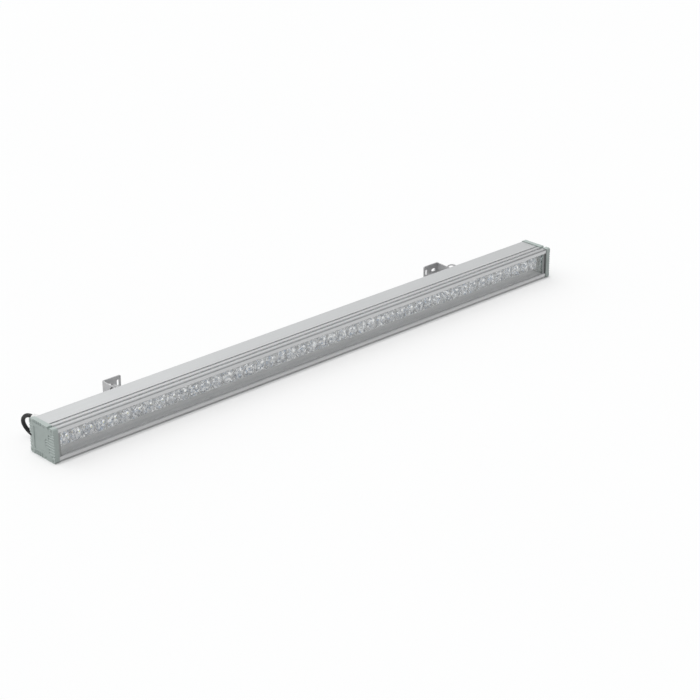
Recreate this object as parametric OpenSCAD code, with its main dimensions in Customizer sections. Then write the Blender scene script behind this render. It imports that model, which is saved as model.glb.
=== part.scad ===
// Outdoor wall washer light: an extruded housing with a row of round lenses behind flat glass,
// moulded end caps, two sliding and turning wall brackets and a short supply lead.
// Millimetres. X runs along the light, -Y is the front with the glass, +Y the wall, +Z up.
// The origin is at the middle of the length and of the depth, on the surface that it stands on.

/* [Light] */
// Length over both end caps
overall_length = 1000; // [900:10:1400]
// Distance from the housing's back face to the wall
wall_reach = 51; // [48:1:60]

/* [Housing extrusion] */
// Depth from front to back
body_depth = 54; // [46:1:64]
// Height
body_height = 49; // [42:1:60]
// Radius of the long outer edges
body_corner_r = 2; // [1.5:0.25:2.5]
// Height of the housing above and below the front channel
lip_t = 6.5; // [6.5:0.25:8]
// Depth of the front channel
channel_depth = 26; // [25.5:0.5:27]
// Wall between the front channel and the driver cavity
web_t = 2; // [1.6:0.1:2.5]
// Wall above and below the driver cavity
cavity_wall = 3; // [2.5:0.1:3.5]
// Wall behind the driver cavity
back_wall = 3; // [2.5:0.1:3.5]

/* [T-slots and grooves] */
// Width of a slot's mouth
slot_mouth = 4.4; // [4.2:0.1:5]
// Width of a slot inside
slot_inner = 8.4; // [8:0.1:9]
// Thickness of a slot's lips
slot_lip = 1.6; // [1.4:0.1:1.8]
// Height of a slot inside
slot_room = 3.4; // [3:0.1:3.4]
// Distance of the top and bottom slots from the front face
slot_inset = 10.4; // [10:0.1:12]
// Distance of the long groove from the front face
groove_inset = 20; // [19:0.5:22]
// Width of the long groove
groove_w = 3; // [3:0.1:3.4]
// Depth of the long groove
groove_depth = 3.8; // [3.8:0.1:4.2]

/* [End caps] */
// Thickness of a cap's plate
cap_t = 8; // [7:0.5:10]
// How far a cap stands proud of the housing all round
cap_proud = 1; // [0.5:0.25:1.5]
// Radius of a cap's corners
cap_corner_r = 3; // [2:0.5:4]
// Thickness of the gasket behind a cap
gasket_t = 0.5; // [0.4:0.1:1]
// How far the plug reaches into the front channel
plug_reach = 5.4; // [4:0.2:8]
// Distance of the plug's front from the cap's front
plug_setback = 3.8; // [3:0.2:5]
// Depth of the plug from front to back
plug_depth = 20; // [18:0.5:20]
// Width of the bare panel on a cap's outer face
panel_w = 25; // [20:1:25]
// Distance of the bare panel from the cap's top and bottom
panel_inset = 9; // [8:0.5:12]
// Depth of the bare panel
panel_sink = 0.8; // [0.4:0.1:1.2]
// Radius of a grip groove's round section
grip_r = 1.5; // [1.3:0.1:1.8]
// Depth of a grip groove
grip_depth = 0.9; // [0.5:0.1:1.2]
// Radius of the round cut at the top and back T-slots
notch_r = 2.8; // [2.5:0.1:3]
// Depth of the round cut at the top and back T-slots
notch_depth = 4.5; // [4:0.1:5]

/* [Glass and lenses] */
// Thickness of the glass
glass_t = 4; // [3:0.5:4]
// Distance of the glass from the housing's front face
glass_inset = 4.5; // [3.5:0.5:5]
// Thickness of the silicone bead above and below the glass
seal_t = 0.6; // [0.4:0.1:1]
// Reach of the silicone bead in front of the glass
seal_reach = 3.5; // [1:0.5:3.5]
// Pitch of the lenses
lens_pitch = 20.6; // [20.2:0.1:20.6]
// Half the side of a lens's square rim
lens_r = 9.9; // [9:0.1:10]
// Height of a lens above its board
lens_h = 11.4; // [9:0.2:12]
// Thickness of a lens's rim
lens_rim = 1.4; // [1:0.1:2]
// Thickness of an LED board
board_t = 1.6; // [1:0.2:2]
// Distance of an LED board from the channel's top and bottom
board_inset = 2; // [1:0.25:3]
// Side of an LED package
led_side = 3.4; // [3:0.1:4]

/* [Brackets] */
// Distance of each bracket's middle from the middle of the light
bracket_x = 327; // [200:1:380]
// Thickness of the bracket sheet
sheet_t = 2; // [1.5:0.1:2.5]
// Width of the plate on the housing
mount_w = 33.5; // [32:0.5:40]
// Height of the plate on the housing
mount_h = 30; // [28:0.5:32]
// Distance of the slot screws from the plate's near long edge
mount_edge = 8.5; // [7:0.5:9]
// Distance between the two slot screws
slot_screw_pitch = 16; // [14:0.5:18]
// Distance of the pivot from the housing's back face
pivot_reach = 14.6; // [14.6:0.1:16]
// Radius of the round ear
ear_r = 18.3; // [18:0.1:20]
// Radius of the arc slot's middle line
arc_r = 14.2; // [14:0.1:14.4]
// Width of the wall plate
wall_w = 32; // [28:0.5:40]
// Height of the wall plate and of its flange
wall_h = 22; // [20:0.5:24]
// Rise of the wall plate's middle above the pivot
wall_rise = 2; // [0:0.5:3]
// Radius of the plates' free corners
plate_corner_r = 2; // [1:0.5:4]
// Length of the level slot in the wall plate
wall_slot_l = 9; // [7:0.5:12]
// Width of the level slot
wall_slot_w = 5; // [4.5:0.1:6]
// Length of the upright slot in the wall plate
trim_slot_l = 9.5; // [6:0.5:12]
// Width of the upright slot
trim_slot_w = 4.2; // [3:0.1:5]
// Rise of both slots above the wall plate's middle
wall_slot_rise = 0.5; // [0:0.5:1]
// Distance of the level slot's middle from the flange
wall_slot_inset = 10.5; // [8:0.5:12]
// Distance of the upright slot's middle from the plate's free edge
trim_slot_inset = 5.2; // [4:0.2:6]

/* [Fasteners] */
// Radius of the bracket screws
screw_r = 2; // [1.8:0.05:2]
// Radius of the bracket screw heads
head_r = 3.5; // [3:0.1:3.6]
// Height of the bracket screw heads
head_h = 2.4; // [2:0.1:3]
// Radius of a bracket nut over its corners
nut_r = 4; // [3.6:0.1:4.2]
// Height of a bracket nut
nut_h = 3.2; // [2.4:0.1:3.4]
// Radius of a cap screw
cap_screw_r = 1.45; // [1.3:0.05:1.45]
// Length of a cap screw's shank
cap_screw_l = 16; // [12:1:25]
// Radius of a cap screw's head
cap_head_r = 2; // [1.8:0.1:2.1]
// Height of a cap screw's head
cap_head_h = 2.1; // [1.4:0.1:2.2]

/* [Cable gland and lead] */
// Distance of the gland from the end of the light
gland_inset = 20; // [18:1:30]
// Distance of the gland's middle below the housing's top
gland_drop = 12; // [11.8:0.1:12.6]
// Radius of the gland's flange
gland_r = 7; // [6.5:0.1:7]
// How far the gland stands out from the housing
gland_reach = 20; // [20:1:24]
// Radius of the lead
lead_r = 3; // [2.5:0.1:3]

/* [Hidden] */
round_fn = 64;
small_fn = 32;
hex_fn = 6;
lens_fn = 48;
lead_sides = 12;
cut = 1;

// Running and fitting clearances
fit_gap = 0.1;
plug_gap = 0.25;
glass_gap = 0.3;
turn_gap = 0.05;

// The light's box: the caps' front and the wall plates' outer faces are equally far from the origin
half_l = overall_length / 2;
total_depth = cap_proud + body_depth + wall_reach;
cap_front = -total_depth / 2;
cap_depth = body_depth + 2 * cap_proud;
cap_height = body_height + 2 * cap_proud;
body_front = cap_front + cap_proud;
body_back = body_front + body_depth;
body_bottom = cap_proud;
body_top = body_bottom + body_height;
mid_z = body_bottom + body_height / 2;
wall_y = body_back + wall_reach;
body_half = half_l - cap_t - gasket_t;
channel_back = body_front + channel_depth;
window_height = body_height - 2 * lip_t;
channel_bottom = mid_z - window_height / 2;

// Driver cavity
cavity_front = channel_back + web_t;
cavity_back = body_back - back_wall;
cavity_bottom = body_bottom + cavity_wall;
cavity_top = body_top - cavity_wall;

// T-slots, the boss round the back one, and the grooves
slot_depth = slot_lip + slot_room;
slot_y = body_front + slot_inset;
groove_y = body_front + groove_inset;
boss_wall = 1.5;
boss_front = body_back - slot_depth - boss_wall;

// Screw ports for the cap screws, and their bosses
port_r = cap_screw_r + turn_gap;
port_wall = 1.5;
corner_port_inset = 3.6;
corner_port_drop = 2.6;
front_port_y = body_front + corner_port_inset;
back_port_y = body_back - back_wall;
groove_port_drop = groove_depth - cap_screw_r - turn_gap - fit_gap;

// Cap screw seats
cap_seat = 2.2;
cap_seat_gap = 0.15;
cap_seat_r = cap_head_r + cap_seat_gap;
cap_hole_r = cap_screw_r + fit_gap;
cap_drive_r = 0.9;
drive_r = 1.3;
drive_depth = 1;

// Grip grooves: reach from the cap's edge, by distance from the middle groove
grip_long = 20;
grip_medium = 12.5;
grip_short = 6;
grip_back = 5;
grip_foot = 6.5;
grip_head = 4;
grip_row_inset = 19;
grip_lift = grip_r - grip_depth;
grip_levels = [-4, -3, -2, -1, 0, 1, 2, 3, 4];
grip_columns = [-2, -1, 0, 1, 2];
panel_front = groove_y;
panel_h = cap_height - 2 * panel_inset;
grip_pitch = panel_h / (len(grip_levels) - 1);

// Gasket
gasket_inset = 0.5;

// Glass
glass_y = body_front + glass_inset;
glass_half = half_l - cap_t - plug_reach - glass_gap;
glass_bottom = channel_bottom + seal_t;
glass_height = window_height - 2 * seal_t;

// LED boards
board_h = window_height - 2 * board_inset;
board_front = channel_back - board_t;
board_end = body_half - web_t;
board_gap = 0.4;
board_screw_r = 1.5;
board_screw_l = 3.5;
board_head_r = 2.4;
board_head_h = 1.8;
board_screw_inset = 3;
board_screw_rise = board_h / 2 - board_screw_inset;
board_screw_step = 6;
board_hole_r = board_screw_r + fit_gap;
led_base_h = 0.9;
led_dome_r = 1.3;
lens_pocket_r = 3.2;
lens_pocket_h = 4;
lens_foot_r = 4.6;
lens_bowl_r = lens_r - 0.5;
lens_corner_r = 1.5;
// Shares of the lens height and radius that shape its curved flank
flank_rise_shares = [0, 0.3, 0.62];
flank_swell_shares = [0, 0.56, 0.86];
lens_count = floor(2 * glass_half / lens_pitch);
lens_split = ceil(lens_count / 2);
lens_start = -lens_pitch * (lens_count - 1) / 2;
split_x = lens_start + lens_pitch * (lens_split - 0.5);
link_w = 10;
link_d = 3.4;
link_h = 3.4;

// Driver in the cavity
tray_inset = 12;
tray_start = half_l - tray_inset;
tray_l = 188;
tray_t = 1.2;
tray_side_gap = 2;
tray_rail = 1.4;
tray_gap = 0.2;
driver_t = 1.6;
driver_front = cavity_front + tray_gap + tray_t + tray_rail;
driver_back = driver_front + driver_t;
driver_bottom = cavity_bottom + tray_side_gap + tray_t + tray_gap;
driver_top = cavity_top - tray_side_gap - tray_t - tray_gap;
part_room = boss_front - driver_back;
// Shares of the room over the board that its parts and the tray's lips stand up
capacitor_share = 0.73;
coil_share = 0.53;
chip_share = 0.13;
terminal_share = 0.6;
tray_lip_share = 0.33;
tray_lip = tray_lip_share * part_room;
capacitor_r = 5;
capacitor_h = capacitor_share * part_room;
coil_r = 6.5;
coil_h = coil_share * part_room;
chip_w = 10;
chip_d = chip_share * part_room;
chip_h = 6;
part_pitch = 16;
terminal_w = 12;
terminal_d = terminal_share * part_room;
terminal_h = 10;
core_r = 0.8;
core_pitch = 3;
feed_hole_r = 3;
feed_inset = 160;
feed_x = -half_l + feed_inset;
grommet_wall = 0.5;

// Gland
gland_x = -half_l + gland_inset;
gland_z = body_top - gland_drop;
gland_flange_t = 4;
gland_tube_r = 4.9;
gland_bore_r = 3.3;
gland_tube_l = 7;
gland_nut_r = 6.8;
gland_grip_l = 5;
gland_tail_r = 4.4;
gland_seal_l = 4;
locknut_r = 6.6;
locknut_h = 2.6;
seal_squeeze = 0.1;
gland_tube_end = body_back + gland_tube_l;
gland_inner_end = cavity_back - locknut_h - 0.5 * back_wall;
gland_mouth = body_back + gland_reach;

// Brackets, drawn for the left one in its own place
mount_out = -bracket_x - mount_w / 2;
mount_in = -bracket_x + mount_w / 2;
mount_y = body_back + fit_gap;
mount_bottom = mid_z - mount_edge;
pivot_y = body_back + pivot_reach;
spacer_t = 0.5;
spacer_r = 8;
flange_out = mount_out + sheet_t + spacer_t;
arc_half_w = screw_r + fit_gap;
bend_r = sheet_t;
slot_nut_w = 7.4;
slot_nut_h = 2.8;
slot_nut_y = body_back - slot_lip - fit_gap - slot_nut_h;
slot_screw_tip = 0.2;
washer_t = 0.6;
washer_r = 4;
bolt_tip = 0.6;
wall_z = mid_z + wall_rise;
wall_slot_z = wall_z + wall_slot_rise;
wall_slot_x = flange_out + wall_slot_inset;
trim_slot_x = flange_out + wall_w - trim_slot_inset;

// The lead's middle line, from inside the gland to its cut end on the surface
lead_route = [
    [-480, -6, 38], [-480, 8, 38], [-480, 22, 38], [-480.1, 28, 37.7], [-480.4, 33.9, 36.6],
    [-480.6, 39.3, 34.2], [-480.6, 44, 30.5], [-480.2, 47.4, 25.6], [-479.2, 48.8, 19.9],
    [-477.6, 47.7, 14.3], [-476.1, 44.3, 9.7], [-474.8, 39.4, 6.4], [-473.6, 34, 4.4],
    [-471.8, 28.5, 3.3], [-468.6, 23.4, 3], [-464, 19.6, 3], [-458.4, 17.5, 3], [-452.5, 17, 3],
    [-446.5, 17, 3], [-440.5, 17, 3], [-434.5, 17, 3], [-428.5, 17, 3], [-422.5, 17, 3]
];

// Colours
silver = [0.8, 0.81, 0.82];
grey_green = [0.58, 0.63, 0.6];
steel = [0.6, 0.6, 0.61];
bright_steel = [0.82, 0.82, 0.83];
clear = [0.85, 0.9, 0.94, 0.5];
white = [0.93, 0.93, 0.92];
black = [0.05, 0.05, 0.05];
rubber_grey = [0.35, 0.35, 0.36];
led_yellow = [0.95, 0.85, 0.4];
board_green = [0.1, 0.35, 0.2];

// Shared shapes

// Extrudes an outline drawn in Y and Z from one X to another
module along_x(from, to) {
    translate([from, 0, 0])
        rotate([90, 0, 90])
            linear_extrude(to - from)
                children();
}

// A cylinder along +X
module rod_x(x, y, z, r, length, sides = small_fn) {
    translate([x, y, z])
        rotate([0, 90, 0])
            cylinder(r = r, h = length, $fn = sides);
}

// A cylinder along +Y
module rod_y(x, y, z, r, length, sides = small_fn) {
    translate([x, y, z])
        rotate([-90, 0, 0])
            cylinder(r = r, h = length, $fn = sides);
}

// A rectangle with round corners
module round_rect(x, y, w, h, r) {
    translate([x + r, y])
        square([w - 2 * r, h]);
    translate([x, y + r])
        square([w, h - 2 * r]);
    for (cx = [x + r, x + w - r], cy = [y + r, y + h - r])
        translate([cx, cy])
            circle(r = r, $fn = small_fn);
}

// A slot with round ends
module slot_2d(x, y, length, w) {
    translate([x - (length - w) / 2, y - w / 2])
        square([length - w, w]);
    for (side = [-1, 1])
        translate([x + side * (length - w) / 2, y])
            circle(d = w, $fn = small_fn);
}

// Puts a left-hand shape on the right as its mirror image
module to_right() {
    mirror([1, 0, 0])
        children();
}

// Turns a left-hand bracket half a turn about the depth axis at mid height
module turned_right() {
    translate([0, 0, mid_z])
        rotate([0, 180, 0])
            translate([0, 0, -mid_z])
                children();
}

// Repeats a top outline at the bottom
module top_and_bottom() {
    children();
    translate([0, 2 * mid_z])
        mirror([0, 1])
            children();
}

// Housing

// Middles of the six screw ports, as Y and Z
upper_ports = [
    [front_port_y, body_top - corner_port_drop],
    [groove_y, body_top - groove_port_drop],
    [back_port_y, body_top - corner_port_drop]
];
ports = concat(upper_ports, [for (p = upper_ports) [p.x, 2 * mid_z - p.y]]);
corner_ports = [ports[0], ports[2], ports[3], ports[5]];

// The T-slot in the top face
module top_slot_2d() {
    translate([slot_y - slot_mouth / 2, body_top - slot_depth])
        square([slot_mouth, slot_depth + cut]);
    translate([slot_y - slot_inner / 2, body_top - slot_depth])
        square([slot_inner, slot_room]);
}

// The T-slot in the back face
module back_slot_2d() {
    translate([body_back - slot_depth, mid_z - slot_mouth / 2])
        square([slot_depth + cut, slot_mouth]);
    translate([body_back - slot_depth, mid_z - slot_inner / 2])
        square([slot_room, slot_inner]);
}

module groove_2d() {
    translate([groove_y - groove_w / 2, body_top - groove_depth])
        square([groove_w, groove_depth + cut]);
}

module channel_2d() {
    translate([body_front - cut, channel_bottom])
        square([channel_depth + cut, window_height]);
}

// The cavity behind the channel, less the walls of the back slot and of the rear ports
module cavity_2d() {
    difference() {
        translate([cavity_front, cavity_bottom])
            square([cavity_back - cavity_front, cavity_top - cavity_bottom]);
        translate([boss_front, mid_z - slot_inner / 2 - boss_wall])
            square([body_back - boss_front, slot_inner + 2 * boss_wall]);
        for (p = [ports[2], ports[5]])
            translate(p)
                circle(r = port_r + port_wall, $fn = small_fn);
    }
}

module ports_2d(r) {
    for (p = corner_ports)
        translate(p)
            circle(r = r, $fn = small_fn);
}

module housing_2d() {
    difference() {
        round_rect(body_front, body_bottom, body_depth, body_height, body_corner_r);
        channel_2d();
        cavity_2d();
        top_and_bottom() top_slot_2d();
        back_slot_2d();
        top_and_bottom() groove_2d();
        ports_2d(port_r);
    }
}

module housing() {
    color(silver)
        difference() {
            along_x(-body_half, body_half)
                housing_2d();
            for (x = board_screw_xs(0, lens_count), side = [-1, 1])
                rod_y(x, channel_back - cut, mid_z + side * board_screw_rise, board_hole_r, web_t + 2 * cut);
            gland_hole();
            rod_y(feed_x, channel_back - cut, mid_z, feed_hole_r, web_t + 2 * cut);
        }
}

// Hole for the gland's tube through the back wall, with room for its locknut inside
module gland_hole() {
    depth = body_back - gland_inner_end;
    rod_y(gland_x, gland_inner_end, gland_z, gland_tube_r + fit_gap, depth + cut);
    rod_y(gland_x, gland_inner_end, gland_z, locknut_r + fit_gap, depth - back_wall, hex_fn);
}

// End caps

// One grip groove along Y on the outer face, from an edge inwards
module grip_y(y, z, length) {
    rod_y(-half_l - grip_lift, y, z, grip_r, length);
}

// One grip groove along Z on the outer face
module grip_z(y, z, length) {
    translate([-half_l - grip_lift, y, z])
        cylinder(r = grip_r, h = length, $fn = small_fn);
}

function grip_reach(level) = abs(level) <= 1 ? grip_long : abs(level) <= 3 ? grip_medium : grip_short;

module grips() {
    for (level = grip_levels) {
        grip_y(cap_front - cut, mid_z + level * grip_pitch, grip_reach(level) + cut);
        if (level != 0)
            grip_y(cap_front + cap_depth - grip_back, mid_z + level * grip_pitch, grip_back + cut);
    }
    for (column = grip_columns) {
        grip_z(cap_front + cap_depth - grip_row_inset + column * grip_pitch, -cut, grip_foot + cut);
        grip_z(cap_front + cap_depth - grip_row_inset + column * grip_pitch, cap_height - grip_head,
            grip_head + cut);
    }
}

module top_notch_2d() {
    translate([slot_y, cap_height - notch_depth + notch_r])
        circle(r = notch_r, $fn = small_fn);
    translate([slot_y - notch_r, cap_height - notch_depth + notch_r])
        square([2 * notch_r, notch_depth]);
}

module back_notch_2d() {
    translate([cap_front + cap_depth - notch_depth + notch_r, mid_z])
        circle(r = notch_r, $fn = small_fn);
    translate([cap_front + cap_depth - notch_depth + notch_r, mid_z - notch_r])
        square([notch_depth, 2 * notch_r]);
}

module cap_outline_2d() {
    difference() {
        round_rect(cap_front, 0, cap_depth, cap_height, cap_corner_r);
        top_notch_2d();
        back_notch_2d();
        for (p = ports)
            translate(p)
                circle(r = cap_hole_r, $fn = small_fn);
    }
}

module plug_2d(gap) {
    translate([cap_front + plug_setback - gap, channel_bottom + plug_gap - gap])
        square([plug_depth + 2 * gap, window_height - 2 * plug_gap + 2 * gap]);
}

module end_cap() {
    color(grey_green)
        difference() {
            union() {
                along_x(-half_l, -half_l + cap_t)
                    cap_outline_2d();
                along_x(-half_l + cap_t / 2, -half_l + cap_t + plug_reach)
                    plug_2d(0);
            }
            translate([-half_l - cut, panel_front, mid_z - panel_h / 2])
                cube([panel_sink + cut, panel_w, panel_h]);
            grips();
            for (p = ports)
                rod_x(-half_l - cut, p.x, p.y, cap_seat_r, cap_seat + cut);
        }
}

module end_gasket() {
    color(rubber_grey)
        along_x(-half_l + cap_t, -half_l + cap_t + gasket_t)
            difference() {
                round_rect(body_front + gasket_inset, body_bottom + gasket_inset,
                    body_depth - 2 * gasket_inset, body_height - 2 * gasket_inset, body_corner_r);
                plug_2d(plug_gap);
                cavity_2d();
                top_notch_2d();
                back_notch_2d();
                top_and_bottom() groove_2d();
                ports_2d(cap_hole_r);
            }
}

module cap_screws() {
    head_x = -half_l + cap_seat - cap_head_h;
    color(bright_steel)
        for (p = ports)
            difference() {
                union() {
                    rod_x(head_x, p.x, p.y, cap_head_r, cap_head_h);
                    rod_x(head_x + cap_head_h / 2, p.x, p.y, cap_screw_r, cap_screw_l);
                }
                rod_x(head_x - cut, p.x, p.y, cap_drive_r, drive_depth + cut, hex_fn);
            }
}

// Glass

module front_glass() {
    color(clear)
        translate([-glass_half, glass_y, glass_bottom])
            cube([2 * glass_half, glass_t, glass_height]);
}

module glass_seal() {
    color(rubber_grey)
        translate([-glass_half, glass_y - seal_reach, channel_bottom])
            cube([2 * glass_half, seal_reach + glass_t, seal_t]);
}

// LED boards and lenses

function lens_x(index) = lens_start + index * lens_pitch;

// Board screws stand between lenses, and every so many lenses
function board_screw_xs(first, last) = [
    for (index = [first : last - 1])
        if (index % board_screw_step == 2 && index + 1 < last && index + 1 != lens_split)
            lens_x(index) + lens_pitch / 2
];

module led_board(from, to, first, last) {
    color(white)
        difference() {
            translate([from, board_front, mid_z - board_h / 2])
                cube([to - from, board_t, board_h]);
            for (x = board_screw_xs(first, last), side = [-1, 1])
                rod_y(x, board_front - cut, mid_z + side * board_screw_rise, board_hole_r, board_t + 2 * cut);
        }
}

module led_board_left() {
    led_board(-board_end, split_x - board_gap / 2, 0, lens_split);
}

module led_board_right() {
    led_board(split_x + board_gap / 2, board_end, lens_split, lens_count);
}

module leds(first, last) {
    color(led_yellow)
        for (index = [first : last - 1])
            translate([lens_x(index), board_front, mid_z])
                rotate([90, 0, 0])
                    union() {
                        translate([-led_side / 2, -led_side / 2, 0])
                            cube([led_side, led_side, led_base_h]);
                        intersection() {
                            translate([0, 0, led_base_h])
                                sphere(r = led_dome_r, $fn = small_fn);
                            translate([-led_side / 2, -led_side / 2, 0])
                                cube([led_side, led_side, led_side]);
                        }
                    }
}

// Half section of a lens's bowl: foot on the board, curved flank, flat face, pocket over the LED
module lens_half_2d() {
    rise = lens_h - lens_rim;
    swell = lens_bowl_r - lens_foot_r;
    polygon(concat(
        [for (i = [0 : len(flank_rise_shares) - 1])
            [lens_foot_r + swell * flank_swell_shares[i], rise * flank_rise_shares[i]]],
        [[lens_bowl_r, rise], [lens_bowl_r, lens_h], [0, lens_h], [0, lens_pocket_h],
            [lens_pocket_r, lens_pocket_h], [lens_pocket_r, 0]]
    ));
}

module lenses(first, last) {
    color(clear)
        for (index = [first : last - 1])
            translate([lens_x(index), board_front, mid_z])
                rotate([90, 0, 0])
                    union() {
                        rotate_extrude($fn = lens_fn)
                            lens_half_2d();
                        translate([0, 0, lens_h - lens_rim])
                            linear_extrude(lens_rim)
                                round_rect(-lens_r, -lens_r, 2 * lens_r, 2 * lens_r, lens_corner_r);
                    }
}

module board_screws(first, last) {
    color(bright_steel)
        for (x = board_screw_xs(first, last), z = [mid_z - board_screw_rise, mid_z + board_screw_rise])
            union() {
                rod_y(x, board_front - board_head_h, z, board_head_r, board_head_h);
                rod_y(x, board_front - board_head_h / 2, z, board_screw_r, board_screw_l + board_head_h / 2);
            }
}

// Connector that bridges the two boards above the lenses
module board_link() {
    color(white)
        translate([split_x - link_w / 2, board_front - link_d, mid_z + board_screw_rise - link_h / 2])
            cube([link_w, link_d, link_h]);
}

// Driver

module driver_tray() {
    board_room = driver_top - driver_bottom;
    color(white)
        difference() {
            translate([-tray_start, cavity_front + tray_gap, cavity_bottom + tray_side_gap])
                cube([tray_l, tray_t + tray_rail + driver_t + tray_lip,
                    cavity_top - cavity_bottom - 2 * tray_side_gap]);
            translate([-tray_start - cut, driver_front, driver_bottom - tray_gap])
                cube([tray_l + 2 * cut, driver_t + tray_lip + cut, board_room + 2 * tray_gap]);
            translate([-tray_start - cut, cavity_front + tray_gap + tray_t, driver_bottom + tray_rail])
                cube([tray_l + 2 * cut, tray_rail + cut, board_room - 2 * tray_rail]);
            rod_y(feed_x, cavity_front - cut, mid_z, feed_hole_r, tray_t + 2 * cut + tray_gap);
        }
}

module driver_board() {
    color(board_green)
        translate([-tray_start, driver_front, driver_bottom])
            cube([tray_l, driver_t, driver_top - driver_bottom]);
}

module driver_parts() {
    chip_z = cavity_bottom + tray_side_gap + chip_h;
    color(black) {
        for (i = [0 : 2])
            rod_y(-tray_start + (i + 3) * part_pitch, driver_back, cavity_top - cavity_wall - 2 * capacitor_r,
                capacitor_r, capacitor_h);
        for (i = [0 : 1])
            rod_y(-tray_start + (i + 7) * part_pitch, driver_back, cavity_bottom + cavity_wall + 2 * coil_r,
                coil_r, coil_h);
        for (i = [0 : 3])
            translate([-tray_start + (i + 2) * part_pitch, driver_back, chip_z])
                cube([chip_w, chip_d, chip_h]);
    }
}

module terminal_block() {
    color(white)
        translate([gland_x - terminal_w / 2, driver_back, gland_z - terminal_h / 2])
            cube([terminal_w, terminal_d, terminal_h]);
}

// The lead's two bare cores, from its stripped end to the terminal block
module lead_cores() {
    color(led_yellow)
        for (side = [-1, 1])
            rod_y(gland_x + side * core_pitch / 2, driver_back + terminal_d, gland_z, core_r,
                lead_route[0].y - driver_back - terminal_d);
}

module feed_wires() {
    color(black)
        for (side = [-1, 1])
            rod_y(feed_x + side * core_pitch / 2, channel_back, mid_z, core_r, driver_front - channel_back);
}

module feed_grommet() {
    color(rubber_grey)
        difference() {
            rod_y(feed_x, channel_back, mid_z, feed_hole_r - turn_gap, web_t);
            rod_y(feed_x, channel_back - cut, mid_z, feed_hole_r - grommet_wall, web_t + 2 * cut);
        }
}

// Gland and lead

// A half section turned about the gland's axis, with its heights along +Y from the back face
module gland_turned() {
    translate([gland_x, body_back, gland_z])
        rotate([-90, 0, 0])
            rotate_extrude($fn = round_fn)
                children();
}

module gland_body() {
    inner = gland_inner_end - body_back;
    color(white)
        gland_turned()
            polygon([[gland_bore_r, inner], [gland_tube_r, inner], [gland_tube_r, 0], [gland_r, 0],
                [gland_r, gland_flange_t], [gland_tube_r, gland_flange_t], [gland_tube_r, gland_tube_l],
                [gland_bore_r, gland_tube_l]]);
}

module gland_nut() {
    inside = gland_tube_r + fit_gap;
    base = gland_flange_t + fit_gap;
    room = gland_tube_l + fit_gap + gland_seal_l + fit_gap;
    color(white)
        gland_turned()
            polygon([[inside, base], [gland_nut_r, base], [gland_nut_r, base + gland_grip_l],
                [gland_tail_r + seal_t, gland_reach - seal_t], [gland_tail_r, gland_reach],
                [gland_bore_r, gland_reach], [gland_bore_r, room], [inside, room]]);
}

module gland_seal() {
    base = gland_tube_l + fit_gap;
    color(rubber_grey)
        gland_turned()
            polygon([[lead_r - seal_squeeze, base], [gland_tube_r, base], [gland_tube_r, base + gland_seal_l],
                [lead_r - seal_squeeze, base + gland_seal_l]]);
}

module gland_locknut() {
    start = cavity_back - fit_gap - locknut_h;
    color(white)
        difference() {
            rod_y(gland_x, start, gland_z, locknut_r, locknut_h, hex_fn);
            rod_y(gland_x, start - cut, gland_z, gland_tube_r + fit_gap, locknut_h + 2 * cut);
        }
}

// Direction of the route at a point, and the frame square to it
function unit(v) = v / norm(v);
function route_way(i) =
    i == 0 ? unit(lead_route[1] - lead_route[0])
    : i == len(lead_route) - 1 ? unit(lead_route[i] - lead_route[i - 1])
    : unit(lead_route[i + 1] - lead_route[i - 1]);
function next_side(side, way) = unit(side - (side * way) * way);
function route_sides(i) = i == 0 ? [1, 0, 0] : next_side(route_sides(i - 1), route_way(i));
function ring(i) = let (side = route_sides(i), other = cross(route_way(i), side))
    [for (k = [0 : lead_sides - 1])
        lead_route[i] + lead_r * (cos(360 * k / lead_sides) * side + sin(360 * k / lead_sides) * other)];

module supply_lead() {
    last = len(lead_route) - 1;
    color(black)
        polyhedron(
            points = [for (i = [0 : last]) each ring(i)],
            faces = concat(
                [[for (k = [0 : lead_sides - 1]) k]],
                [for (i = [0 : last - 1], k = [0 : lead_sides - 1])
                    let (a = i * lead_sides, b = a + lead_sides, n = (k + 1) % lead_sides)
                        each [[a + k, b + k, a + n], [a + n, b + k, b + n]]],
                [[for (k = [0 : lead_sides - 1]) last * lead_sides + lead_sides - 1 - k]]
            )
        );
}

// Brackets

slot_screw_xs = [-bracket_x - slot_screw_pitch / 2, -bracket_x + slot_screw_pitch / 2];

// Takes the sharp outer edge off a bend that runs along Z
module bend_edge(x, y, turn) {
    translate([x, y, 0])
        rotate([0, 0, turn])
            difference() {
                translate([-cut, -cut, -cut])
                    cube([bend_r + cut, bend_r + cut, cap_height + 2 * cut]);
                translate([bend_r, bend_r, -2 * cut])
                    cylinder(r = bend_r, h = cap_height + 4 * cut, $fn = small_fn);
            }
}

module ear_2d() {
    difference() {
        translate([pivot_y, mid_z])
            circle(r = ear_r, $fn = round_fn);
        translate([pivot_y - 2 * ear_r, mid_z - 2 * ear_r])
            square([2 * ear_r - pivot_y + mount_y, 4 * ear_r]);
        translate([pivot_y, mid_z])
            circle(r = screw_r + turn_gap, $fn = small_fn);
        arc_slot_2d();
    }
}

// Half a ring on the wall side of the pivot, with round ends
module arc_slot_2d() {
    difference() {
        translate([pivot_y, mid_z])
            circle(r = arc_r + arc_half_w, $fn = round_fn);
        translate([pivot_y, mid_z])
            circle(r = arc_r - arc_half_w, $fn = round_fn);
        translate([pivot_y - 2 * ear_r, mid_z - 2 * ear_r])
            square([2 * ear_r, 4 * ear_r]);
    }
    for (side = [-1, 1])
        translate([pivot_y, mid_z + side * arc_r])
            circle(r = arc_half_w, $fn = small_fn);
}

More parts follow.
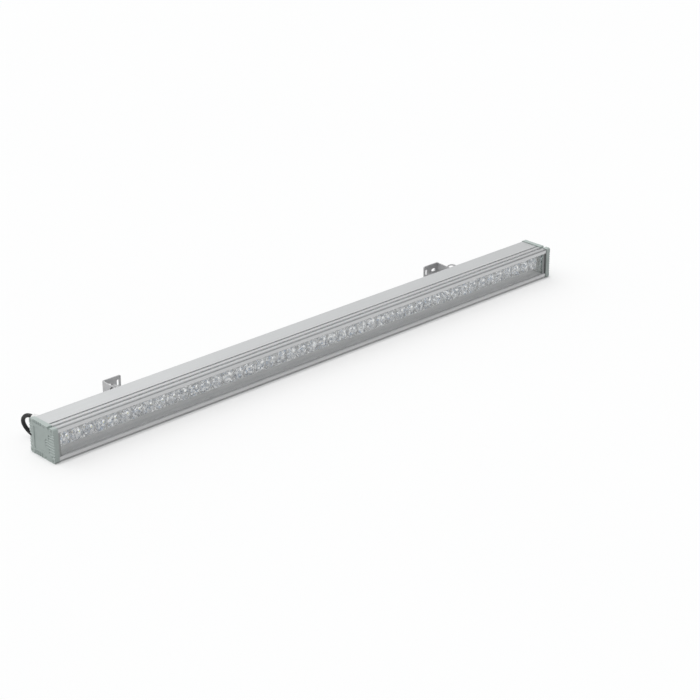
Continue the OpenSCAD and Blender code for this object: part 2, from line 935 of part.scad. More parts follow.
module mount_bracket() {
    color(steel)
        difference() {
            union() {
                translate([0, mount_y + sheet_t, 0])
                    rotate([90, 0, 0])
                        linear_extrude(sheet_t)
                            union() {
                                round_rect(mount_out, mount_bottom, mount_w, mount_h, plate_corner_r);
                                translate([mount_out, mount_bottom])
                                    square([mount_w / 2, mount_h]);
                            }
                along_x(mount_out, mount_out + sheet_t)
                    ear_2d();
            }
            for (x = slot_screw_xs)
                rod_y(x, mount_y - cut, mid_z, screw_r + fit_gap, sheet_t + 2 * cut);
            bend_edge(mount_out, mount_y, 0);
        }
}

module slot_screws() {
    seat = mount_y + sheet_t;
    tip = slot_nut_y - slot_screw_tip;
    color(bright_steel)
        for (x = slot_screw_xs)
            difference() {
                union() {
                    rod_y(x, seat, mid_z, head_r, head_h);
                    rod_y(x, tip, mid_z, screw_r, seat + head_h / 2 - tip);
                }
                rod_y(x, seat + head_h - drive_depth, mid_z, drive_r, drive_depth + cut, hex_fn);
            }
}

module slot_nuts() {
    color(bright_steel)
        for (x = slot_screw_xs)
            difference() {
                translate([x - slot_nut_w / 2, slot_nut_y, mid_z - slot_nut_w / 2])
                    cube([slot_nut_w, slot_nut_h, slot_nut_w]);
                rod_y(x, slot_nut_y - cut, mid_z, screw_r + turn_gap, slot_nut_h + 2 * cut);
            }
}

// The flange from the wall plate to its round end at the pivot
module flange_2d() {
    difference() {
        union() {
            translate([pivot_y, mid_z])
                circle(r = wall_h / 2, $fn = round_fn);
            polygon([[pivot_y, mid_z - wall_h / 2], [wall_y, wall_z - wall_h / 2],
                [wall_y, wall_z + wall_h / 2], [pivot_y, mid_z + wall_h / 2]]);
        }
        translate([pivot_y, mid_z])
            circle(r = screw_r + turn_gap, $fn = small_fn);
        translate([pivot_y + arc_r, mid_z])
            circle(r = screw_r + turn_gap, $fn = small_fn);
    }
}

module wall_plate_2d() {
    difference() {
        union() {
            round_rect(flange_out, wall_z - wall_h / 2, wall_w, wall_h, plate_corner_r);
            translate([flange_out, wall_z - wall_h / 2])
                square([wall_w / 2, wall_h]);
        }
        slot_2d(wall_slot_x, wall_slot_z, wall_slot_l, wall_slot_w);
        translate([trim_slot_x, wall_slot_z])
            rotate(90)
                slot_2d(0, 0, trim_slot_l, trim_slot_w);
    }
}

module wall_bracket() {
    color(steel)
        difference() {
            union() {
                translate([0, wall_y, 0])
                    rotate([90, 0, 0])
                        linear_extrude(sheet_t)
                            wall_plate_2d();
                along_x(flange_out, flange_out + sheet_t)
                    flange_2d();
            }
            bend_edge(flange_out, wall_y, -90);
        }
}

// A button head screw along +X from outside the ear, with a washer's room under its head
module cross_bolt(y, length) {
    head_x = mount_out - washer_t;
    difference() {
        union() {
            rod_x(head_x - head_h, y, mid_z, head_r, head_h);
            rod_x(head_x - head_h / 2, y, mid_z, screw_r, length + head_h / 2);
        }
        rod_x(head_x - head_h - cut, y, mid_z, drive_r, drive_depth + cut, hex_fn);
    }
}

module washer(x, y, r, thickness) {
    difference() {
        rod_x(x, y, mid_z, r, thickness);
        rod_x(x - cut, y, mid_z, screw_r + turn_gap, thickness + 2 * cut);
    }
}

module cross_nut(y, gap) {
    difference() {
        rod_x(flange_out + sheet_t + gap, y, mid_z, nut_r, nut_h, hex_fn);
        rod_x(flange_out + sheet_t - cut, y, mid_z, screw_r + turn_gap, nut_h + 2 * cut);
    }
}

stack_l = washer_t + sheet_t + spacer_t + sheet_t + nut_h + bolt_tip;

module pivot_bolt() {
    color(bright_steel)
        union() {
            cross_bolt(pivot_y, stack_l);
            rod_x(mount_out - washer_t, pivot_y, mid_z, washer_r, washer_t);
        }
}

module pivot_spacer() {
    color(white)
        washer(mount_out + sheet_t, pivot_y, spacer_r, spacer_t - turn_gap);
}

module pivot_nut() {
    color(bright_steel)
        cross_nut(pivot_y, turn_gap);
}

module lock_screw() {
    color(bright_steel)
        cross_bolt(pivot_y + arc_r, stack_l);
}

module lock_washer() {
    color(bright_steel)
        washer(mount_out - washer_t, pivot_y + arc_r, washer_r, washer_t - fit_gap);
}

module lock_nut() {
    color(bright_steel)
        cross_nut(pivot_y + arc_r, 0);
}

housing();
end_cap();  // end_cap_left
to_right() end_cap();  // end_cap_right
end_gasket();  // end_gasket_left
to_right() end_gasket();  // end_gasket_right
cap_screws();  // cap_screws_left
to_right() cap_screws();  // cap_screws_right
front_glass();
turned_right() glass_seal();  // glass_seal_top
glass_seal();  // glass_seal_bottom
led_board_left();
led_board_right();
leds(0, lens_split);  // leds_left
leds(lens_split, lens_count);  // leds_right
lenses(0, lens_split);  // lenses_left
lenses(lens_split, lens_count);  // lenses_right
board_screws(0, lens_split);  // board_screws_left
board_screws(lens_split, lens_count);  // board_screws_right
board_link();
driver_tray();
driver_board();
driver_parts();
terminal_block();
lead_cores();
feed_wires();
feed_grommet();
gland_body();
gland_nut();
gland_seal();
gland_locknut();
supply_lead();
mount_bracket();  // mount_bracket_left
turned_right() mount_bracket();  // mount_bracket_right
slot_screws();  // slot_screws_left
turned_right() slot_screws();  // slot_screws_right
slot_nuts();  // slot_nuts_left
turned_right() slot_nuts();  // slot_nuts_right
wall_bracket();  // wall_bracket_left
to_right() wall_bracket();  // wall_bracket_right
pivot_bolt();  // pivot_bolt_left
turned_right() pivot_bolt();  // pivot_bolt_right
pivot_spacer();  // pivot_spacer_left
turned_right() pivot_spacer();  // pivot_spacer_right
pivot_nut();  // pivot_nut_left
turned_right() pivot_nut();  // pivot_nut_right
lock_screw();  // lock_screw_left
turned_right() lock_screw();  // lock_screw_right
lock_washer();  // lock_washer_left
turned_right() lock_washer();  // lock_washer_right
lock_nut();  // lock_nut_left
turned_right() lock_nut();  // lock_nut_right
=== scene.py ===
import math

import bmesh
import bpy
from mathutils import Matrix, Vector


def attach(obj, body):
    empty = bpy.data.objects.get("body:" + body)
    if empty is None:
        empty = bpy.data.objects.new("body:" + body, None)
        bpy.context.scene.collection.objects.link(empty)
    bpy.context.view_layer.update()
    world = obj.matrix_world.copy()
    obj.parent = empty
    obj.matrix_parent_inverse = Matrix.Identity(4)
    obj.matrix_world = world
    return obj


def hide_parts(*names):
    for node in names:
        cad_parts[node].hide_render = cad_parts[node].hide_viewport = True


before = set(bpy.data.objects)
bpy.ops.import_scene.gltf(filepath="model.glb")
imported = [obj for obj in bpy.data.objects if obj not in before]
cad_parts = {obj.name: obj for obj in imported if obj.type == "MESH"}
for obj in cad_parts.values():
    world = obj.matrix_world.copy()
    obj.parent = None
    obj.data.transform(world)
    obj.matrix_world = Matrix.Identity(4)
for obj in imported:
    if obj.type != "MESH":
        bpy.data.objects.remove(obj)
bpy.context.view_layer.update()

# Camera

CAMERA_PLACE = (-1.8064, -2.0070, 1.1824)
CAMERA_TURN = (66.35, 0.0, -43.44)
CAMERA_LENS = 99.66
CAMERA_SENSOR = 36.0

# Supply lead, in metres, from the mouth of the gland to its cut end

LEAD_RADIUS = 0.003
LEAD_ROUTE = (
    (-0.48, 0.022, 0.038),
    (-0.4801, 0.028, 0.0377),
    (-0.4804, 0.0339, 0.0366),
    (-0.4806, 0.0393, 0.0342),
    (-0.4806, 0.044, 0.0305),
    (-0.4802, 0.0474, 0.0256),
    (-0.4792, 0.0488, 0.0199),
    (-0.4776, 0.0477, 0.0143),
    (-0.4761, 0.0443, 0.0097),
    (-0.4748, 0.0394, 0.0064),
    (-0.4736, 0.034, 0.0044),
    (-0.4718, 0.0285, 0.0033),
    (-0.4686, 0.0234, 0.003),
    (-0.464, 0.0196, 0.003),
    (-0.4584, 0.0175, 0.003),
    (-0.4525, 0.017, 0.003),
    (-0.4465, 0.017, 0.003),
    (-0.4405, 0.017, 0.003),
    (-0.4345, 0.017, 0.003),
    (-0.4285, 0.017, 0.003),
    (-0.4225, 0.017, 0.003),
)
STEPS_PER_SPAN = 6

# End caps, in metres from the middle

PLUG_END_X = 0.4867
PLUG_SIDE_X = 0.4868
PLUG_FOOT_X = 0.4917
CAP_PLATE_X = 0.4919
# Painted light and painted shade on the sloped faces of the cap's sides: lighter where a slope faces up or
# back, darker where it faces down or forward
GRIP_BACK_SHARE = 0.4
GRIP_SLOPE = (0.10, 0.30)
GRIP_LEAN = (0.10, 0.50)
GRIP_LIGHT_SHARE = 0.32
GRIP_SHADE_SHARE = 0.65

# Parts of the housing's section, in metres, each as front, back, foot and top

SECTION = (-0.052, 0.002, 0.001, 0.050)
CHANNEL = (-0.052, -0.0255, 0.0070, 0.0440)
TOP_CORNER = (-0.0540, -0.0474, 0.0482, 0.0520)
TOP_BANDS = (-0.0540, -0.0325, 0.0482, 0.0520)
T_SLOTS = (-0.0468, -0.0364, 0.001, 0.050)
SKIN_DEPTH = 0.0006

# How far each part of the section goes over to another colour: a paler one inside, painted light that lifts
# the shade there, and a darker one on the top corner and top bands, painted shade

SECTION_LIGHT_SHARE = 0.30
T_SLOTS_LIGHT_SHARE = 0.58
TOP_CORNER_SHADE_SHARE = 0.33
TOP_BANDS_SHADE_SHARE = 0.12

# Depth over which the silicone goes from grey painted shade, before the glass, to clean, behind its front

GLASS_FRONT = (-0.0476, -0.0474)

# Lens row, in metres

LENS_COUNT_LEFT = 24
LENS_COUNT_RIGHT = 23
LENS_PITCH = 0.0206
LENS_FIRST_X = -0.4738
LENS_FRONT_Y = -0.039
LENS_HEIGHT = 0.0255
LENS_SEGMENTS = 18
RIM_HALF = 0.0099
RIM_CORNER = 0.0130
RIM_FRONT = 0.0003
RIM_BACK = 0.0014
RIM_HOLE = 0.0091
RIM_SEGMENTS = 24

# Rings of a lens, each as its radius, its depth behind the front, and its turn in segments

BODY_RINGS = (
    (0.0092, RIM_FRONT, 0.0),
    (RIM_HALF, RIM_FRONT, 0.0),
    (RIM_HALF, RIM_BACK, 0.0),
    (0.0091, 0.0018, 0.0),
    (0.0086, 0.0034, 0.5),
    (0.0075, 0.0054, 0.0),
    (0.0063, 0.0076, 0.5),
    (0.0050, 0.0096, 0.0),
    (0.0038, 0.0113, 0.0),
    (0.0030, 0.0113, 0.0),
)
FACET_RINGS = (
    (0.0092, RIM_FRONT, 0.0),
    (0.0082, 0.0020, 0.5),
    (0.0073, 0.0040, 0.0),
    (0.0061, 0.0059, 0.5),
    (0.0049, 0.0079, 0.0),
    (0.0038, 0.0097, 0.5),
    (0.0030, 0.0113, 0.0),
)
FRONT_RINGS = (
    (RIM_HOLE, RIM_FRONT, 0.0),
    (0.0080, 0.0001, 0.5),
    (0.0060, 0.0000, 0.0),
    (0.0040, 0.0001, 0.5),
    (0.0031, 0.0004, 0.0),
    (0.0028, 0.0036, 0.0),
    (0.0018, 0.0028, 0.5),
)
FRONT_TIP = 0.0024
BEAD_RINGS = (
    (0.0012, 0.0062, 0.5),
    (0.0021, 0.0068, 0.0),
    (0.0026, 0.0078, 0.5),
    (0.0027, 0.0090, 0.0),
    (0.0024, 0.0098, 0.5),
)
BEAD_TOP = 0.0059
BEAD_FOOT = 0.0098

# Looks of a lens, with places as along, behind and above the middle of its front; its colours are mostly
# painted reflection, painted highlight and painted shade

IMAGE_SCALE = 340.0
IMAGE_EDGE = 0.04
FRONT_TILT = 0.55
FRONT_LEAST = 0.28
FRONT_MOST = 0.62
GLOSS_PICKS = (0.36, 0.30)
BLUE_PICKS = (0.34, 0.30)
DARK_PICKS = (0.20, 0.16)
MIDDLE_PICK = (0.5, 0.5, 0.5)
SKIN_SHARES = (0.45, 0.90)
# Where the painted shade lies on each lens, beside and below its middle
FLANK_BESIDE = (0.0036, 0.0060)
FLANK_BELOW = (-0.0020, -0.0045)
PHOSPHOR_EDGE = (0.00125, 0.0014)
SPOT_CORE_SHARE = 0.6
# Colours of the painted reflections in a lens's cone, each with the pick above which a cell takes it
PAINTED_REFLECTIONS_IN_LENS = (
    (0.52, (0.62, 0.66, 0.72, 1.0)),
    (0.30, (0.30, 0.40, 0.54, 1.0)),
    (0.17, (0.07, 0.12, 0.19, 1.0)),
    (0.08, (0.98, 0.98, 0.98, 1.0)),
)
# Painted reflection of the LED chip, at the same place in every lens and fading along the row
PAINTED_CHIP_REFLECTION = (0.0050, 0.0002, 0.0019)
PAINTED_CHIP_REFLECTION_RADIUS = 0.0014
CHIPS_FROM = -0.42
CHIPS_TO = -0.20
CHIPS_LEAST = 0.2
# Painted highlight, at the same place in every lens
PAINTED_HIGHLIGHT = (0.0038, 0.0002, 0.0042)
PAINTED_HIGHLIGHT_RADIUS = 0.0022

# Colours, and the share of the worn colour on sharp edges

WHITE = (1.0, 1.0, 1.0, 1.0)
ALUMINIUM_DARK = (0.545, 0.552, 0.556, 1.0)
ALUMINIUM_LIGHT = (0.610, 0.617, 0.621, 1.0)
ALUMINIUM_WORN = (0.80, 0.81, 0.82, 1.0)
# Painted shade: the darker colour on the top front corner and top bands
ALUMINIUM_PAINTED_SHADE = (0.24, 0.245, 0.25, 1.0)
# Painted light: the pale matt colour inside the housing's section
ALUMINIUM_INSIDE_PAINTED_LIGHT = (0.96, 0.965, 0.97, 1.0)
PLATE_DARK = (0.42, 0.42, 0.425, 1.0)
PLATE_LIGHT = (0.56, 0.56, 0.565, 1.0)
PLATE_WORN = (0.78, 0.78, 0.79, 1.0)
SCREW_DARK = (0.62, 0.62, 0.63, 1.0)
SCREW_LIGHT = (0.80, 0.80, 0.81, 1.0)
SCREW_WORN = (0.92, 0.92, 0.93, 1.0)
PAINT_DARK = (0.36, 0.41, 0.39, 1.0)
PAINT_LIGHT = (0.44, 0.50, 0.475, 1.0)
COPPER_DARK = (0.72, 0.36, 0.20, 1.0)
COPPER_LIGHT = (0.92, 0.56, 0.36, 1.0)
CAP_DARK = (0.400, 0.457, 0.437, 1.0)
CAP_LIGHT = (0.448, 0.503, 0.483, 1.0)
CAP_WORN = (0.60, 0.66, 0.64, 1.0)
# Painted light and painted shade for the sloped faces of the cap's sides
CAP_PAINTED_LIGHT = (0.68, 0.74, 0.72, 1.0)
CAP_SHADED = (0.15, 0.18, 0.17, 1.0)
PLUG_SIDE = (0.40, 0.41, 0.41, 1.0)
SEAL_CLEAN_DARK = (0.95, 0.95, 0.955, 1.0)
SEAL_CLEAN_LIGHT = (0.98, 0.98, 0.985, 1.0)
# Painted shade: the grey of the silicone before the glass
SEAL_SHADED_DARK = (0.52, 0.525, 0.53, 1.0)
SEAL_SHADED_LIGHT = (0.60, 0.605, 0.61, 1.0)
SHEATH_DARK = (0.006, 0.006, 0.0065, 1.0)
SHEATH_LIGHT = (0.014, 0.014, 0.0150, 1.0)
BOARD_DARK = (0.88, 0.885, 0.88, 1.0)
BOARD_LIGHT = (0.94, 0.945, 0.94, 1.0)
PHOSPHOR_DARK = (0.86, 0.66, 0.06, 1.0)
PHOSPHOR_LIGHT = (0.95, 0.80, 0.14, 1.0)
PACKAGE_DARK = (0.72, 0.72, 0.70, 1.0)
PACKAGE_LIGHT = (0.80, 0.80, 0.78, 1.0)
LENS_DARK = (0.88, 0.89, 0.91, 1.0)
LENS_LIGHT = (0.97, 0.975, 0.98, 1.0)
LENS_CLEAR = (0.95, 0.96, 0.98, 1.0)
# Painted shade on the lower sides of each lens
FLANK_PAINTED_SHADE = (0.06, 0.065, 0.08, 1.0)
FACET_COLOUR = (0.93, 0.93, 0.94, 1.0)
FRONT_CLEAR = (0.985, 0.99, 1.0, 1.0)
FRONT_PALE = (0.96, 0.96, 0.965, 1.0)
# Painted reflection: blue and dark tints of the glossy cells on a lens's front
FRONT_PAINTED_BLUE = (0.30, 0.42, 0.60, 1.0)
FRONT_PAINTED_DARK = (0.06, 0.10, 0.16, 1.0)
# Colour of the painted reflection of the LED chip
PAINTED_CHIP_COLOUR = (0.66, 0.64, 0.24, 1.0)
BEAD_CLEAR = (0.97, 0.98, 1.0, 1.0)
GLASS_CLEAR = (0.992, 0.996, 0.995, 1.0)
HOUSING_WEAR = 0.35
PLATE_WEAR = 0.15
SCREW_WEAR = 0.6
CAP_WEAR = 0.30

# The usual range of a noise, and how far a softened normal turns at an edge

NOISE_LOW = 0.3
NOISE_HIGH = 0.7
EDGE_FLAT = 0.998
EDGE_TURNED = 0.90

# How much the glass sends back when it is seen straight on, and how that grows with the slant

GLASS_LEAST = 0.135
GLASS_POWER = 5.0

# Floor and studio

FLOOR_RADIUS = 60.0
FLOOR_SHOWN = (0.960, 0.960, 0.960, 1.0)
FLOOR_SHOWN_LIGHT = (0.97, 0.97, 0.97, 1.0)
FLOOR_LIT = (0.55, 0.55, 0.55, 1.0)
FLOOR_GLOW_SHARE = 0.60
# Reach from the light's footprint within which the floor keeps its full shadow; beyond it, glow washes the
# shadow out
FLOOR_FULL_SHADOW_REACH = 0.007
LIGHT_HALF_LENGTH = 0.5
LIGHT_MIDDLE_Y = -0.025
LIGHT_HALF_DEPTH = 0.028
SKY_FROM = (-0.148, 0.543, 0.827)
SKY_LEAST = 0.311
SKY_MORE = 1.952
SKY_POWER = 6.0
FRONT_FROM = (0.10, -0.97, 0.20)
FRONT_LOW = 0.35
FRONT_MORE = 0.33
FLAG_FROM = (0.62, -0.36, 0.70)
FLAG_LOW = 0.78
FLAG_HIGH = 0.95
FLAG_SHARE = 0.65
HORIZON_SHOWN = 0.97
HORIZON_LOW = 0.18
HORIZON_HIGH = 0.36
WORLD_COLOUR = (0.995, 1.0, 1.0, 1.0)


class Graph:
    """Places and links the shader nodes of one material or world."""

    def __init__(self, owner):
        owner.use_nodes = True
        self.tree = owner.node_tree
        self.tree.nodes.clear()

    def node(self, kind, inputs=None, **settings):
        made = self.tree.nodes.new("ShaderNode" + kind)
        for name, value in settings.items():
            setattr(made, name, value)
        for key, value in (inputs or {}).items():
            if isinstance(value, bpy.types.NodeSocket):
                self.tree.links.new(value, made.inputs[key])
            else:
                made.inputs[key].default_value = value
        return made

    def math(self, operation, a, b=0.0):
        return self.node("Math", {0: a, 1: b}, operation=operation).outputs[0]

    def ramp(self, value, low, high, to_low=0.0, to_high=1.0, kind="SMOOTHSTEP"):
        inputs = {"Value": value, "From Min": low, "From Max": high}
        inputs.update({"To Min": to_low, "To Max": to_high})
        return self.node("MapRange", inputs, interpolation_type=kind).outputs[0]

    def spread(self, noise, to_low=0.0, to_high=1.0):
        """The usual range of a noise, spread evenly between two values."""
        return self.ramp(noise, NOISE_LOW, NOISE_HIGH, to_low, to_high, "LINEAR")

    def mix_value(self, share, a, b):
        return self.node("Mix", {0: share, 2: a, 3: b}, data_type="FLOAT").outputs[0]

    def mix_colour(self, share, a, b):
        return self.node("Mix", {0: share, 6: a, 7: b}, data_type="RGBA").outputs[2]

    def place(self):
        return self.node("TexCoord").outputs["Object"]

    def stretched(self, x, y, z):
        return self.node("Mapping", {"Vector": self.place(), "Scale": (x, y, z)}).outputs[0]

    def noise(self, where, scale=1.0, detail=2.0, rough=0.5):
        inputs = {"Vector": where, "Scale": scale, "Detail": detail, "Roughness": rough}
        return self.node("TexNoise", inputs).outputs[0]

    def softened(self, radius):
        return self.node("Bevel", {"Radius": radius}, samples=4).outputs[0]

    def edge_share(self, soft_normal):
        sharp = self.node("NewGeometry").outputs["Normal"]
        turned = self.node("VectorMath", {0: soft_normal, 1: sharp}, operation="DOT_PRODUCT")
        return self.ramp(turned.outputs["Value"], EDGE_FLAT, EDGE_TURNED)

    def bump(self, height, strength, distance, normal=None):
        inputs = {"Height": height, "Strength": strength, "Distance": distance}
        if normal is not None:
            inputs["Normal"] = normal
        return self.node("Bump", inputs).outputs[0]

    def principled(self, **inputs):
        named = {key.replace("_", " "): value for key, value in inputs.items()}
        return self.node("BsdfPrincipled", named).outputs[0]

    def finish(self, shader):
        self.node("OutputMaterial", {"Surface": shader})


def new_material(name):
    made = bpy.data.materials.new(name)
    return made, Graph(made)


# Metal finishes


def within(g, part):
    """One inside a part of the housing's section and nothing outside it."""
    front, back, foot, top = part
    spot = g.node("SeparateXYZ", {0: g.place()}).outputs
    sides = (
        (spot[1], front, SKIN_DEPTH),
        (spot[1], back, -SKIN_DEPTH),
        (spot[2], foot, SKIN_DEPTH),
        (spot[2], top, -SKIN_DEPTH),
    )
    share = 1.0
    for value, skin, depth in sides:
        share = g.math("MULTIPLY", share, g.ramp(value, skin + depth / 2, skin + depth))
    return share


def anodised():
    made, g = new_material("anodised")
    soft = g.softened(radius=0.0003)
    edges = g.edge_share(soft)
    lines = g.noise(g.stretched(3.0, 700.0, 700.0), detail=3.0)
    clouds = g.noise(g.place(), scale=9.0, detail=2.0)
    grain = g.noise(g.place(), scale=4200.0, detail=1.0)
    tone = g.mix_value(0.35, lines, clouds)
    colour = g.mix_colour(g.spread(tone), ALUMINIUM_DARK, ALUMINIUM_LIGHT)
    worn = g.mix_colour(g.math("MULTIPLY", edges, HOUSING_WEAR), colour, ALUMINIUM_WORN)
    rough = g.spread(g.mix_value(0.5, lines, grain), to_low=0.36, to_high=0.46)
    height = g.mix_value(0.4, lines, grain)
    # Darker colour on the top front corner and the top bands: painted shade
    corner = g.math("MULTIPLY", within(g, TOP_CORNER), TOP_CORNER_SHADE_SHARE)
    top_shade = g.math("ADD", corner, g.math("MULTIPLY", within(g, TOP_BANDS), TOP_BANDS_SHADE_SHARE))
    top_shaded = g.mix_colour(top_shade, worn, ALUMINIUM_PAINTED_SHADE)
    # Paler matt colour inside each groove, T-slot and the channel: painted light that lifts their shade
    groove_light = g.math("MULTIPLY", within(g, SECTION), SECTION_LIGHT_SHARE)
    slot_light = g.math("MAXIMUM", groove_light, g.math("MULTIPLY", within(g, T_SLOTS), T_SLOTS_LIGHT_SHARE))
    inner = g.math("MAXIMUM", slot_light, within(g, CHANNEL))
    g.finish(
        g.principled(
            Base_Color=g.mix_colour(inner, top_shaded, ALUMINIUM_INSIDE_PAINTED_LIGHT),
            Metallic=g.mix_value(inner, 0.92, 0.0),
            Roughness=rough,
            Normal=g.bump(height, strength=0.12, distance=0.00006, normal=soft),
        )
    )
    return made


def brushed_plate():
    made, g = new_material("bracket_steel")
    soft = g.softened(radius=0.00025)
    edges = g.edge_share(soft)
    lines = g.noise(g.stretched(60.0, 60.0, 2600.0), detail=3.0)
    marks = g.noise(g.stretched(900.0, 900.0, 90.0), detail=2.0)
    clouds = g.noise(g.place(), scale=60.0, detail=2.0)
    tone = g.mix_value(0.5, lines, clouds)
    colour = g.mix_colour(g.spread(tone), PLATE_DARK, PLATE_LIGHT)
    worn = g.mix_colour(g.math("MULTIPLY", edges, PLATE_WEAR), colour, PLATE_WORN)
    rough = g.spread(g.mix_value(0.4, lines, marks), to_low=0.34, to_high=0.48)
    g.finish(
        g.principled(
            Base_Color=worn,
            Metallic=0.55,
            Roughness=rough,
            Normal=g.bump(lines, strength=0.2, distance=0.00005, normal=soft),
        )
    )
    return made


def screw_steel():
    made, g = new_material("screw_steel")
    soft = g.softened(radius=0.0002)
    edges = g.edge_share(soft)
    clouds = g.noise(g.place(), scale=350.0, detail=3.0)
    marks = g.noise(g.stretched(1500.0, 1500.0, 220.0), detail=2.0)
    colour = g.mix_colour(g.spread(clouds), SCREW_DARK, SCREW_LIGHT)
    worn = g.mix_colour(g.math("MULTIPLY", edges, SCREW_WEAR), colour, SCREW_WORN)
    rough = g.spread(marks, to_low=0.14, to_high=0.28)
    g.finish(
        g.principled(
            Base_Color=worn,
            Metallic=1.0,
            Roughness=rough,
            Normal=g.bump(marks, strength=0.12, distance=0.00004, normal=soft),
        )
    )
    return made


def painted_screw():
    made, g = new_material("screw_painted")
    soft = g.softened(radius=0.0002)
    clouds = g.noise(g.place(), scale=600.0, detail=3.0)
    colour = g.mix_colour(clouds, PAINT_DARK, PAINT_LIGHT)
    g.finish(
        g.principled(
            Base_Color=colour,
            Metallic=0.1,
            Roughness=g.spread(clouds, to_low=0.38, to_high=0.55),
            Normal=g.bump(clouds, strength=0.1, distance=0.00005, normal=soft),
        )
    )
    return made


def copper():
    made, g = new_material("copper")
    strands = g.noise(g.stretched(40.0, 3000.0, 3000.0), detail=2.0)
    colour = g.mix_colour(strands, COPPER_DARK, COPPER_LIGHT)
    g.finish(
        g.principled(
            Base_Color=colour,
            Metallic=1.0,
            Roughness=g.spread(strands, to_low=0.25, to_high=0.4),
            Normal=g.bump(strands, strength=0.3, distance=0.0001),
        )
    )
    return made


# Plastics and rubber


def cap_plastic():
    made, g = new_material("cap_plastic")
    soft = g.softened(radius=0.00015)
    edges = g.edge_share(soft)
    grain = g.noise(g.place(), scale=2600.0, detail=3.0, rough=0.6)
    clouds = g.noise(g.place(), scale=45.0, detail=3.0)
    colour = g.mix_colour(g.spread(clouds), CAP_DARK, CAP_LIGHT)
    worn = g.mix_colour(g.math("MULTIPLY", edges, CAP_WEAR), colour, CAP_WORN)
    # Painted light on slopes that face up or back, painted shade on slopes that face down or forward
    facing = g.node("SeparateXYZ", {0: g.node("NewGeometry").outputs["Normal"]}).outputs
    sloped = g.ramp(g.math("ABSOLUTE", facing[0]), *GRIP_SLOPE)
    lit_side = g.math("ADD", facing[2], g.math("MULTIPLY", facing[1], GRIP_BACK_SHARE))
    lean = g.math("MULTIPLY", sloped, lit_side)
    grip_light = g.ramp(lean, *GRIP_LEAN, 0.0, GRIP_LIGHT_SHARE)
    grip_lit = g.mix_colour(grip_light, worn, CAP_PAINTED_LIGHT)
    shade = g.ramp(lean, -GRIP_LEAN[0], -GRIP_LEAN[1], 0.0, GRIP_SHADE_SHARE)
    shaded = g.mix_colour(shade, grip_lit, CAP_SHADED)
    across = g.math("ABSOLUTE", g.node("SeparateXYZ", {0: g.place()}).outputs[0])
    outside = g.ramp(across, PLUG_END_X, PLUG_SIDE_X)
    plate = g.ramp(across, PLUG_FOOT_X, CAP_PLATE_X)
    side = g.math("SUBTRACT", outside, plate)
    coloured = g.mix_colour(side, shaded, PLUG_SIDE)
    rough = g.mix_value(outside, 0.05, g.spread(grain, to_low=0.42, to_high=0.58))
    g.finish(
        g.principled(
            Base_Color=coloured,
            Metallic=g.mix_value(outside, 0.85, 0.0),
            Roughness=rough,
            Specular_IOR_Level=0.45,
            Normal=g.bump(grain, strength=g.mix_value(outside, 0.0, 0.16), distance=0.00008, normal=soft),
        )
    )
    return made


def moulded(name, dark, light, rough_low, rough_high, grain_scale=1800.0, strength=0.12):
    made, g = new_material(name)
    soft = g.softened(radius=0.0002)
    grain = g.noise(g.place(), scale=grain_scale, detail=2.0)
    clouds = g.noise(g.place(), scale=90.0, detail=3.0)
    colour = g.mix_colour(g.spread(clouds), (*dark, 1.0), (*light, 1.0))
    g.finish(
        g.principled(
            Base_Color=colour,
            Roughness=g.spread(grain, to_low=rough_low, to_high=rough_high),
            Normal=g.bump(grain, strength=strength, distance=0.00006, normal=soft),
        )
    )
    return made


def rubber():
    return moulded("rubber", (0.13, 0.132, 0.135), (0.19, 0.192, 0.195), rough_low=0.55, rough_high=0.75)


def silicone():
    """Clean and pale behind the front of the glass, and grey before it, painted shade along the lip in
    front of the glass.
    """
    made, g = new_material("silicone")
    soft = g.softened(radius=0.0002)
    grain = g.noise(g.place(), scale=1800.0, detail=2.0)
    clouds = g.noise(g.place(), scale=90.0, detail=3.0)
    shade = g.spread(clouds)
    clean = g.mix_colour(shade, SEAL_CLEAN_DARK, SEAL_CLEAN_LIGHT)
    shaded_seal = g.mix_colour(shade, SEAL_SHADED_DARK, SEAL_SHADED_LIGHT)
    depth = g.node("SeparateXYZ", {0: g.place()}).outputs[1]
    g.finish(
        g.principled(
            Base_Color=g.mix_colour(g.ramp(depth, *GLASS_FRONT), shaded_seal, clean),
            Roughness=g.spread(grain, to_low=0.45, to_high=0.60),
            Normal=g.bump(grain, strength=0.12, distance=0.00006, normal=soft),
        )
    )
    return made


def white_plastic():
    return moulded("white_plastic", (0.70, 0.70, 0.69), (0.78, 0.78, 0.77), rough_low=0.30, rough_high=0.42)


def black_plastic():
    dark = (0.018, 0.018, 0.019)
    light = (0.035, 0.035, 0.036)
    return moulded("black_plastic", dark, light, rough_low=0.30, rough_high=0.45)


def board_green():
    dark = (0.010, 0.070, 0.028)
    light = (0.018, 0.105, 0.045)
    return moulded("board_green", dark, light, rough_low=0.25, rough_high=0.40, grain_scale=900.0)


def lead_sheath():
    made, g = new_material("lead_black")
    grain = g.noise(g.place(), scale=2400.0, detail=3.0)
    rings = g.noise(g.place(), scale=160.0, detail=3.0)
    colour = g.mix_colour(g.spread(rings), SHEATH_DARK, SHEATH_LIGHT)
    g.finish(
        g.principled(
            Base_Color=colour,
            Roughness=g.spread(grain, to_low=0.46, to_high=0.60),
            Specular_IOR_Level=0.35,
            Normal=g.bump(grain, strength=0.15, distance=0.00008),
        )
    )
    return made


# Light sources, lenses and glass


def board_white():
    made, g = new_material("board_white")
    mask = g.noise(g.place(), scale=1400.0, detail=2.0)
    clouds = g.noise(g.place(), scale=70.0, detail=2.0)
    colour = g.mix_colour(clouds, BOARD_DARK, BOARD_LIGHT)
    g.finish(
        g.principled(
            Base_Color=colour,
            Roughness=g.spread(mask, to_low=0.28, to_high=0.40),
            Normal=g.bump(mask, strength=0.1, distance=0.00005),
        )
    )
    return made


